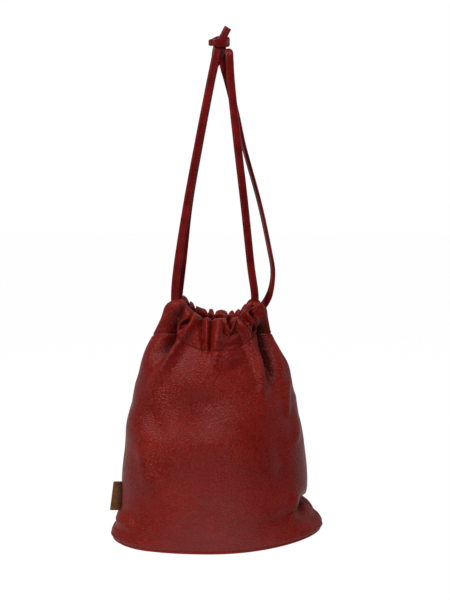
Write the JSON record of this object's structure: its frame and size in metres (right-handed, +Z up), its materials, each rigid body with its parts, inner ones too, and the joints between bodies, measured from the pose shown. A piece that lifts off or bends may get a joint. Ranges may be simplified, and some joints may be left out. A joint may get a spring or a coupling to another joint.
{
  "type": "drawstring shoulder bag",
  "caption": "Soft leather bag with a gathered mouth, an oval base and a knotted leather drawstring that is also its shoulder strap.",
  "frame": {"origin": "the hang point: the underside of the strap loops, where a peg or a shoulder carries the bag", "axes": "+Z up, -Y towards the bag's front panel, +X to the right of someone who faces the front"},
  "size_m": [0.252, 0.1364, 0.6082],
  "materials": {
    "body_leather": "red pebble-grained cowhide with a soft sheen",
    "strap_leather": "smooth red strap leather, folded lengthwise",
    "tab_leather": "brown vegetable-tanned leather"
  },
  "bodies": {
    "root": {"front_panel": "body_leather", "back_panel": "body_leather", "base_panel": "body_leather", "side_tab": "tab_leather", "drawstring": "strap_leather", "drawstring_knot": "strap_leather"}
  },
  "joints": []
}
